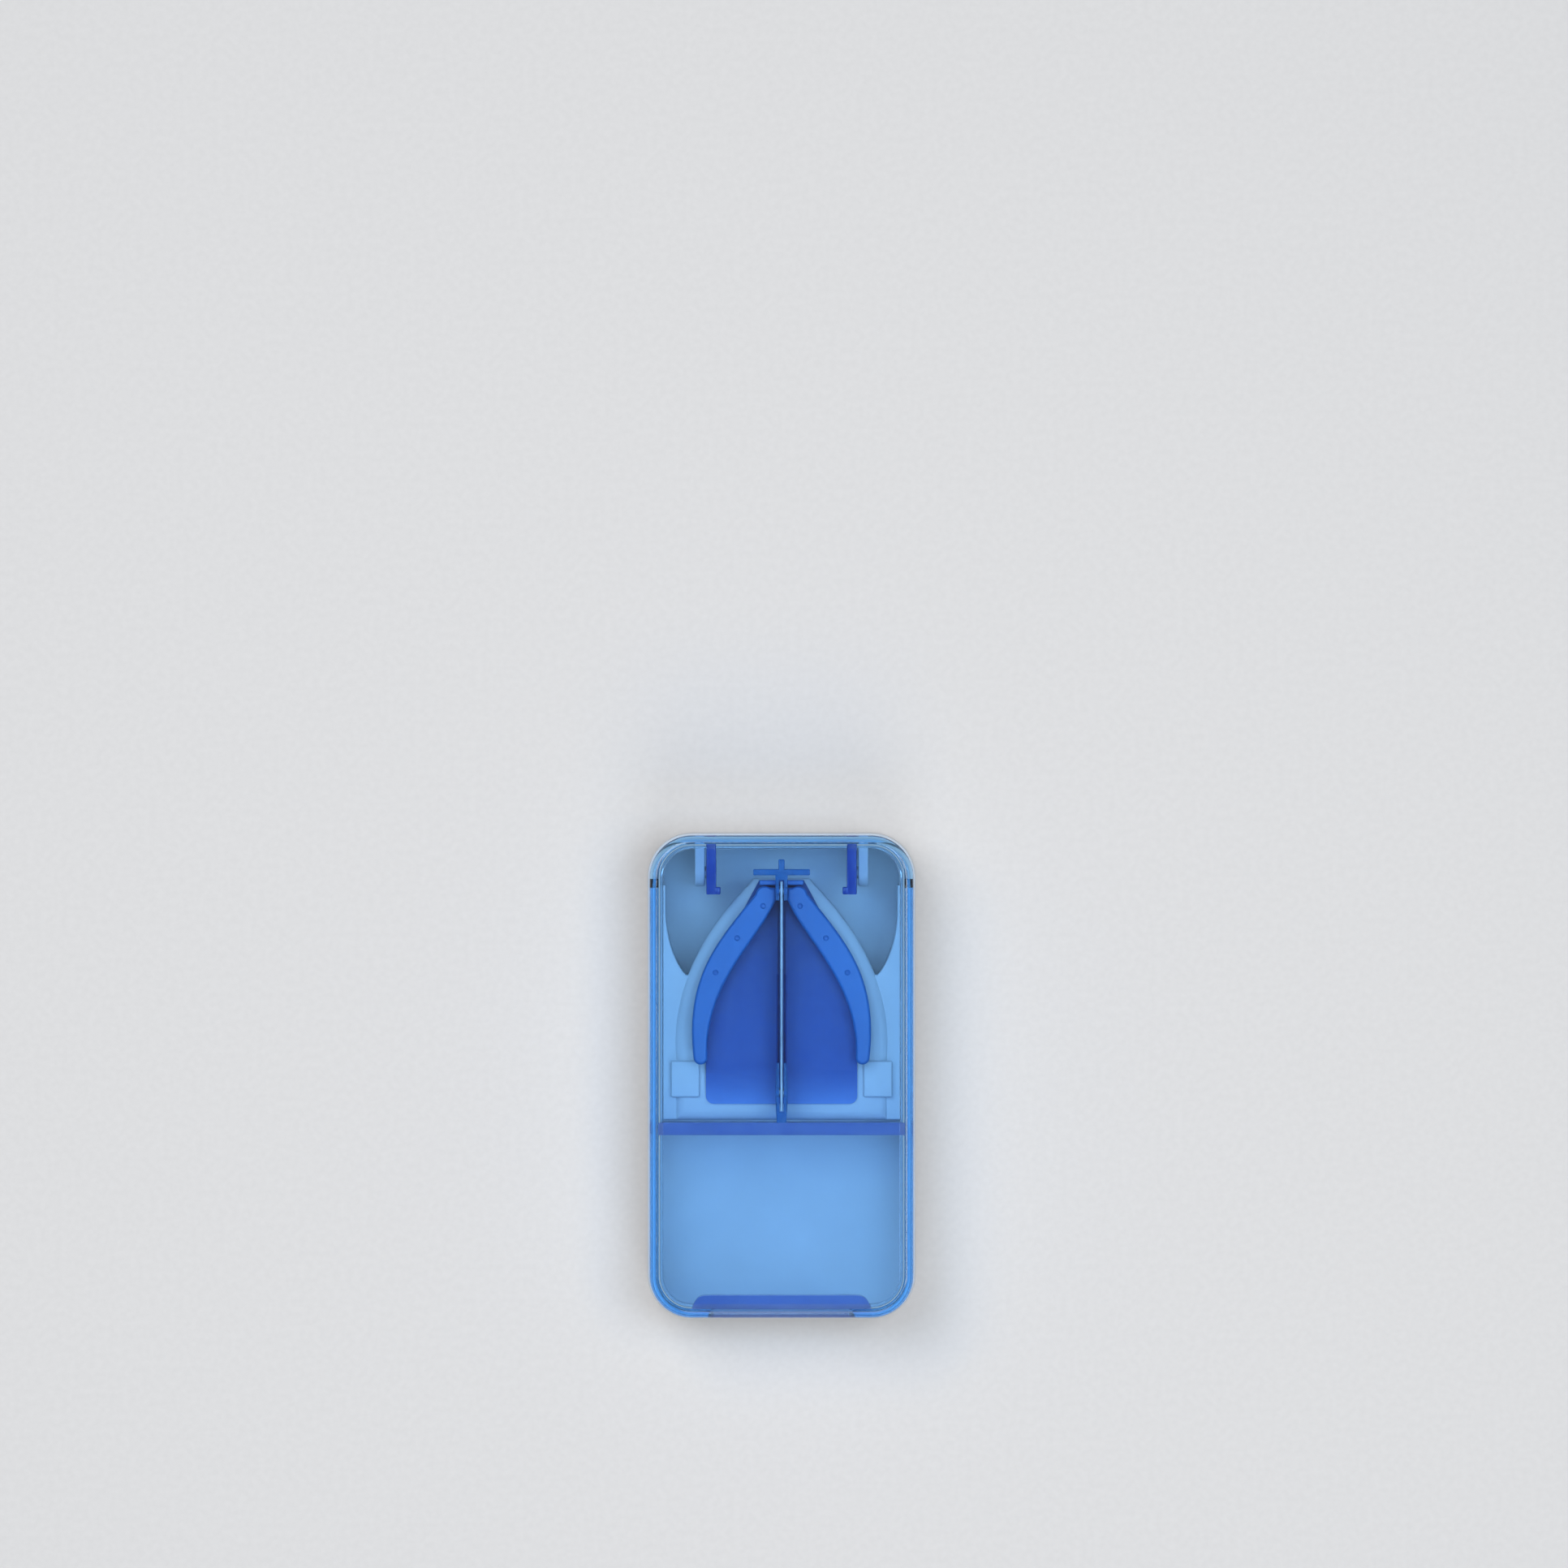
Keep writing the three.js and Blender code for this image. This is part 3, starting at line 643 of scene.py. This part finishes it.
def make_deck():
    """The hollow deck: a raised arch with a sloping edge, a low shelf and two arm rests."""
    round_off, slope_width, slope_steps = 0.3, 1.5, 6
    below = DECK_LOW.z - CLEAR
    rings = [[(x, y, DECK_LOW.z) for x, y in arch_outline()]]
    for step in range(slope_steps + 1):
        angle = pi / 2 * step / slope_steps
        inset = slope_width * (1 - cos(angle))
        z = SHELF_TOP - round_off + (DECK_TOP - SHELF_TOP + round_off) * sin(angle)
        rings.append([(x, y, z) for x, y in arch_outline(inset)])
    deck = loft("deck_body", rings)
    add(deck, extrude("shelf", shelf_outline(), DECK_LOW.z, SHELF_TOP, round_off, 3))
    cut(deck, extrude("arch_hollow", arch_outline(DECK_WALL), below, DECK_TOP - DECK_WALL))
    hollow_half, hollow_rear = SHELF_HALF - DECK_WALL, 14.8
    hollow_low = (-hollow_half, DECK_LOW.y + DECK_WALL, below)
    hollow_high = (hollow_half, hollow_rear, SHELF_TOP - DECK_WALL)
    cut(deck, block("shelf_hollow", hollow_low, hollow_high))
    rest_depth = 0.8
    rest_low = (13.3, -3.5, DECK_TOP - rest_depth)
    rest_high = (18.0, 2.4, DECK_HIGH.z)
    rest = block("arm_rest", rest_low, rest_high, 0.3, 3)
    add(deck, mirrored(rest, "arm_rest_left"), rest)
    polish(deck, TRAY_PLASTIC, "cutting_deck", "base")


def make_pad():
    """The sheet with its groove and thinned front, and the two blocks behind the arms."""
    front, rear, half, corner = PAD_LOW.y, PAD_HIGH.y, PAD_HALF, 1.3
    block_half, block_front, block_top = 3.6, 31.0, ARM_HIGH.z
    straight, bow, lean = (half, 6.0), (half + 0.3, 14.5), (9.0, 22.0)
    right = [
        *arc((half - corner, front + corner), corner, -pi / 2, 0, 10),
        *bezier(straight, bow, lean, (block_half, rear)),
        (block_half, rear),
    ]
    pad = extrude("pad_body", right + mirror_x(right), PAD_LOW.z, PAD_TOP, 0.12, 2)

    ramp_length, ramp_drop = 5.5, 0.8
    ramp = [
        (front - CLEAR, PAD_TOP - ramp_drop * (1 + CLEAR / ramp_length)),
        (front + ramp_length, PAD_TOP),
        (front + ramp_length, PAD_TOP + CLEAR),
        (front - CLEAR, PAD_TOP + CLEAR),
    ]
    cut(pad, extrude("ramp", ramp, -half - CLEAR, half + CLEAR, along="x"))

    groove_half, groove_depth = 0.6, 0.7
    groove_low = (-groove_half, front - CLEAR, PAD_TOP - groove_depth)
    groove_high = (groove_half, rear + CLEAR, block_top + CLEAR)
    cut(pad, block("groove", groove_low, groove_high))
    polish(pad, PAD_PLASTIC, "pill_pad", "base")

    root_bite = 0.05
    for side, sign in (("right", 1), ("left", -1)):
        low_x, high_x = sorted((sign * groove_half, sign * block_half))
        root_low = (low_x, block_front, PAD_TOP - root_bite)
        root_high = (high_x, rear, block_top)
        root = block("root_block_" + side, root_low, root_high, 0.2, 3)
        polish(root, ARM_PLASTIC, "pill_pad", "base")


def make_arm():
    """The right arm: a bowed bar from a round root to a round tip."""
    low, high, root_radius, tip_y = 17.5, ARM_HIGH.z, 1.5, 3.0
    tip_in, tip_out = 12.0, 14.3
    tip_radius = (tip_out - tip_in) / 2
    root_in, root_out, rear = 0.9, 3.4, 30.6
    outline = [
        *bezier((root_in, 28.6), (3.4, 22.4), (12.6, 15.0), (tip_in, tip_y)),
        *arc((tip_in + tip_radius, tip_y), tip_radius, pi, 2 * pi, 16)[:-1],
        *bezier((tip_out, tip_y), (15.9, 17.0), (9.6, 22.6), (root_out, rear)),
        (root_out, rear),
        (root_in, rear),
    ]
    arm = extrude("right_arm_body", outline, low, high, 0.5, 5)
    edge = 0.25
    root = [
        (root_radius - edge, ARM_LOW.z),
        (root_radius, ARM_LOW.z + edge),
        (root_radius, high - edge),
        (root_radius - edge, high),
    ]
    add(arm, turned("root", root, 48, "z", (ARM_ROOT.x, ARM_ROOT.y, 0)))
    dimple = [(0.3, high - 0.4), (0.45, high - 0.3), (0.5, high + CLEAR)]
    for x, y in ((3.0, 27.6), (7.2, 22.4), (10.7, 16.8)):
        cut(arm, turned("dimple", dimple, 24, "z", (x, y, 0)))
    return arm


def make_arms():
    right = make_arm()
    left = mirrored(right, "left_arm_body")
    polish(right, ARM_PLASTIC, "right_arm", "right_arm")
    polish(left, ARM_PLASTIC, "left_arm", "left_arm")


# ---------------------------------------------------------------- lid


def relief_angle(y):
    """The angle round the hinge of the relief's arc at y."""
    return acos((y - HINGE.y) / RELIEF_RADIUS)


RELIEF_REAR = HINGE.y + sqrt(RELIEF_RADIUS**2 - (RELIEF_TOP - HINGE.z) ** 2)


def make_relief():
    """What the lid leaves free so that it can roll back over the tray's rear edge."""
    past_hinge = 1.0
    start, end = relief_angle(HINGE.y - past_hinge), relief_angle(RELIEF_REAR)
    below, under_rim = LID_RIM - 2, LID_RIM - 0.1
    beyond, half = LID_HIGH.y + 5, 30
    side = [
        (RELIEF_FRONT, below),
        (RELIEF_FRONT, under_rim),
        *arc((HINGE.y, HINGE.z), RELIEF_RADIUS, start, end, 32),
        (beyond, RELIEF_TOP),
        (beyond, below),
    ]
    return extrude("relief", side, -half, half, along="x")


def make_front_holder():
    """The blade's front holder: a leaf in plan, and the thin rising gusset behind it."""
    front, wide, rear, bottom = -9.7, -3.8, 2.2, 17.2
    foot, head, gusset_half = -2.5, 16.6, 0.85
    tip, waist, bulge = 0.5, 0.75, 1.32
    up, below, past, half = CEILING - SLIVER, bottom - CLEAR, head + CLEAR, 3
    steps = 24
    right_edge = []
    for t in (i / steps for i in range(steps + 1)):
        weights = ((1 - t) ** 2, 2 * t * (1 - t), t * t)
        x = sum(w * v for w, v in zip(weights, (tip, bulge, waist)))
        y = sum(w * v for w, v in zip(weights, (front, wide, rear)))
        right_edge.append((x, y))
    leaf = extrude("leaf", right_edge + mirror_x(right_edge), bottom, up, 0.2, 3)
    gusset = block("gusset", (-gusset_half, rear + SLIVER, bottom), (gusset_half, head, up))
    under = [(foot, bottom), (foot, below), (past, below), (past, CEILING), (head, CEILING)]
    for part in (leaf, gusset):
        cut(part, extrude("under", under, -half, half, along="x"))
    return leaf, gusset


def make_rear_holder():
    """The blade's rear holder: two cheeks, a cross bar and a fin."""
    front, middle, rear, bottom = 28.5, 33.1, 35.2, 21.2
    up, bar_bottom = CEILING - SLIVER, 21.8
    cheeks_half, bar_half, thin_half = 1.0, 4.6, 0.5
    bar_low = (-bar_half, middle - thin_half, bar_bottom)
    bar_high = (bar_half, middle + thin_half, up)
    cheeks = block("cheeks", (-cheeks_half, front, bottom), (cheeks_half, middle, up), 0.2, 3)
    bar = block("bar", bar_low, bar_high, 0.2, 3)
    fin = block("fin", (-thin_half, middle, bar_bottom), (thin_half, rear, up), 0.2, 3)
    return add(cheeks, bar, fin)


def blade_pin_hole(pin):
    """What a blade pin's hole takes out of the blade and of its holder."""
    low, high = box_mm(pin)
    middle = (low + high) / 2
    half = 2
    return rod_x("pin_hole", BLADE_HOLE_RADIUS, middle.y, middle.z, -half, half)


def make_holders():
    """Both holders and the gusset, with room for the rib, the blade and its pins."""
    front, gusset = make_front_holder()
    rear = make_rear_holder()
    room_half, room_front = 3, RIB_REAR - 5
    room_low, room_high = (-room_half, room_front, 0), (room_half, RIB_REAR + SLIVER, CEILING)
    cut(front, block("rib_room", room_low, room_high))
    slot_half, end_play = 0.375, 0.2
    slot_low = (-slot_half, BLADE_LOW.y - end_play, LID_RIM - CLEAR)
    slot_high = (slot_half, BLADE_HIGH.y + end_play, CEILING)
    for part in (front, gusset, rear):
        cut(part, block("slot", slot_low, slot_high))
    for holder, pin in ((front, "blade_pin_front"), (rear, "blade_pin_rear")):
        cut(holder, blade_pin_hole(pin))
    return front, gusset, rear


def make_ear():
    """The right hinge ear: a hook that ends in a boss on the hinge, with a foot inwards."""
    inner, outer, front, web, boss = 10.6, 12.2, 29.5, 1.7, 2.3
    shin, heel, foot_inner, foot_thick, foot_low = 2.9, 4.0, 9.9, 1.2, 18.5
    long_arm, short_arm = 0.95 * boss, 0.3 * boss
    up = CEILING - SLIVER
    back = front + web
    rear_wall = LID_HIGH.y - LID_WALL - SLIVER
    side = [
        (front, up),
        (front, HINGE.z + shin),
        (HINGE.y - long_arm, HINGE.z - short_arm),
        (HINGE.y, HINGE.z),
        (HINGE.y - short_arm, HINGE.z + long_arm),
        (back, HINGE.z + heel),
        *arc((HINGE.y, HINGE.z), RELIEF_RADIUS, relief_angle(back), relief_angle(RELIEF_REAR), 24),
        (rear_wall, RELIEF_TOP),
        (rear_wall, up),
    ]
    ear = extrude("ear", side, inner, outer, 0.2, 3, "x")
    add(ear, rod_x("boss", boss, HINGE.y, HINGE.z, inner, outer, 0.2, 56))
    foot_bite = 0.3
    foot_start = (foot_inner, front, foot_low)
    foot_end = (inner + foot_bite, front + foot_thick, up)
    add(ear, block("foot", foot_start, foot_end, 0.18, 3))
    cut(ear, rod_x("bore", EAR_HOLE_RADIUS, HINGE.y, HINGE.z, inner - CLEAR, outer + CLEAR))
    return ear


def make_rib():
    """The rib between storage bay and blade, with a tongue that hangs into the tray."""
    front = RIB_REAR - RIB_THICK
    side_play, overlap = 0.4, 2
    half = LID_HIGH.x - LID_WALL - SLIVER
    tongue_half = TRAY_HIGH.x - TRAY_WALL - side_play
    rib = block("rib", (-half, front, LID_RIM), (half, RIB_REAR, CEILING - SLIVER))
    tongue_low = (-tongue_half, front, LID_LOW.z)
    tongue_high = (tongue_half, RIB_REAR, LID_RIM + overlap)
    return add(rib, block("tongue", tongue_low, tongue_high, 0.35, 3))


def finger_recess():
    """The plan of the recess under the lid's front lip, and of the wall behind it."""
    half, depth, wall, bend = 12.0, 1.4, 2.2, 1.2
    flare, sweep, swell, shoulder = 2.5, 1.9, 1.0, 0.6
    deep = LID_FRONT + depth
    back = deep + wall
    corner = arc((half - bend, deep - bend), bend, 0, pi / 2, 10)
    recess = [(half, LID_FRONT - CLEAR), *corner]
    near = (half + flare, LID_FRONT + LID_WALL + SLIVER)
    far = (half - shoulder, back)
    wall_side = [
        *bezier(near, (half + sweep, back), (half + swell, back), far, 12),
        far,
    ]
    return recess + mirror_x(recess), wall_side + mirror_x(wall_side)


def make_lid():
    """The clear shell, and the parts that hang below it as pieces of their own."""
    edge, fillet, lip, over_recess = 1.3, 0.9, 0.2, 1.7
    profile = [
        *quarter(LID_WALL + fillet, CEILING - fillet, fillet, 90, 0, 6),
        *quarter(LID_WALL - lip, LID_RIM + lip, -lip, 0, 90, 3),
        *quarter(lip, LID_RIM + lip, lip, -90, 0, 3),
        *quarter(edge, LID_HIGH.z - edge, edge, 0, 90, 8),
    ]
    lid = shell("lid_body", LID_HIGH.x, LID_HIGH.y, LID_CORNER, profile)
    recess, wall = finger_recess()
    cut(lid, extrude("recess", recess, LID_RIM - CLEAR, LID_HIGH.z - over_recess))
    cut(lid, make_relief())
    polish(lid, CLEAR_BLUE, "lid", "lid")

    ear = make_ear()
    front_holder, gusset, rear_holder = make_holders()
    for part, plastic in (
        (front_holder, HOLDER_BLUE),
        (rear_holder, HOLDER_BLUE),
        (gusset, CLEAR_BLUE),
        (make_rib(), RIB_BLUE),
        (extrude("recess_wall", wall, LID_RIM, CEILING - SLIVER), RIB_BLUE),
        (mirrored(ear, "ear_left"), EAR_BLUE),
        (ear, EAR_BLUE),
    ):
        polish(part, plastic, "lid", "lid")


# ---------------------------------------------------------------- blade and pins


def make_blade():
    """A flat strip with clipped lower corners, ground to an edge from both sides."""
    front, rear = BLADE_LOW.y, BLADE_HIGH.y
    edge, back, half = BLADE_LOW.z, BLADE_HIGH.z, BLADE_HIGH.x
    bevel, clip_length, clip_height, soft = 1.3, 1.6, 2.2, 0.06
    outline = [
        (front, back),
        (front, edge + clip_height),
        (front + clip_length, edge),
        (rear - clip_length, edge),
        (rear, edge + clip_height),
        (rear, back),
    ]
    blade = extrude("blade_body", outline, -half, half, soft, 2, "x")
    margin = 0.3
    for sign in (1, -1):
        ground = [
            (0.0, edge - margin),
            (sign * (half + margin), edge - margin),
            (sign * (half + margin), edge + bevel + margin * bevel / half),
            (sign * half, edge + bevel),
            (0.0, edge),
        ]
        cut(blade, extrude("ground", ground, front - CLEAR, rear + CLEAR, along="y"))
    for pin in ("blade_pin_front", "blade_pin_rear"):
        cut(blade, blade_pin_hole(pin))
    polish(blade, BLADE_STEEL, "blade", "lid", 12)


def make_pins():
    for node in ("blade_pin_front", "blade_pin_rear", "hinge_pin_left", "hinge_pin_right"):
        low, high = box_mm(node)
        middle = (low + high) / 2
        radius = (high.z - low.z) / 2
        chamfer, sides = 0.15, 48
        pin = rod_x(node + "_body", radius, middle.y, middle.z, low.x, high.x, chamfer, sides)
        polish(pin, PIN_STEEL, node, "lid")


# ---------------------------------------------------------------- studio


def make_floor():
    half, drop, thick = 4000.0, 0.02, 10
    corners = [(-half, -half), (half, -half), (half, half), (-half, half)]
    floor = extrude("studio_floor", corners, -drop - thick, -drop)
    floor.data.transform(Matrix.Scale(MM, 4))
    floor.data.materials.append(floor_paper("floor_paper"))


def make_lamp(name, place, size, power, colour):
    """A soft square lamp that faces the object."""
    lamp = bpy.data.lights.new(name, "AREA")
    lamp.shape = "SQUARE"
    lamp.size = size
    lamp.energy = power
    lamp.color = colour
    holder = bpy.data.objects.new(name, lamp)
    holder.location = place
    object_middle = Vector((0, 0, 0.01))
    aim = object_middle - Vector(place)
    holder.rotation_mode = "QUATERNION"
    holder.rotation_quaternion = aim.to_track_quat("-Z", "Y")
    bpy.context.scene.collection.objects.link(holder)


def make_studio():
    """The floor, three soft lamps and a faint pale sky, shown without a film look."""
    make_floor()
    make_lamp("key_lamp", (-0.28, 0.26, 1.0), 0.5, 3.7, (1.0, 0.98, 0.96))
    make_lamp("fill_lamp", (0.26, 0.04, 1.0), 0.4, 2.8, (0.95, 0.98, 1.0))
    make_lamp("front_lamp", (0.08, -0.6, 0.75), 0.5, 1.6, (1.0, 1.0, 1.0))
    world = bpy.data.worlds.new("studio_world")
    world.use_nodes = True
    background = world.node_tree.nodes["Background"]
    sky_colour, sky_strength = (0.93, 0.96, 1.0, 1.0), 0.24
    background.inputs["Color"].default_value = sky_colour
    background.inputs["Strength"].default_value = sky_strength
    bpy.context.scene.world = world
    bpy.context.scene.view_settings.view_transform = "Standard"
    bpy.context.scene.view_settings.look = "None"


def make_camera():
    """Looks straight down, with the hinge at the top and the object low in the picture."""
    lens, sensor = 400.0, 36.0
    picture_side = 0.254
    object_below_middle = 0.0474
    object_left_of_middle = 0.0004
    camera = bpy.data.cameras.new("camera")
    camera.lens = lens
    camera.sensor_width = sensor
    camera.clip_end = 20
    holder = bpy.data.objects.new("camera", camera)
    distance = picture_side * lens / sensor
    holder.location = (object_left_of_middle, object_below_middle, cad_high[2] + distance)
    bpy.context.scene.collection.objects.link(holder)
    bpy.context.scene.camera = holder


make_tray()
make_deck()
make_pad()
make_arms()
make_lid()
make_blade()
make_pins()
make_studio()
make_camera()
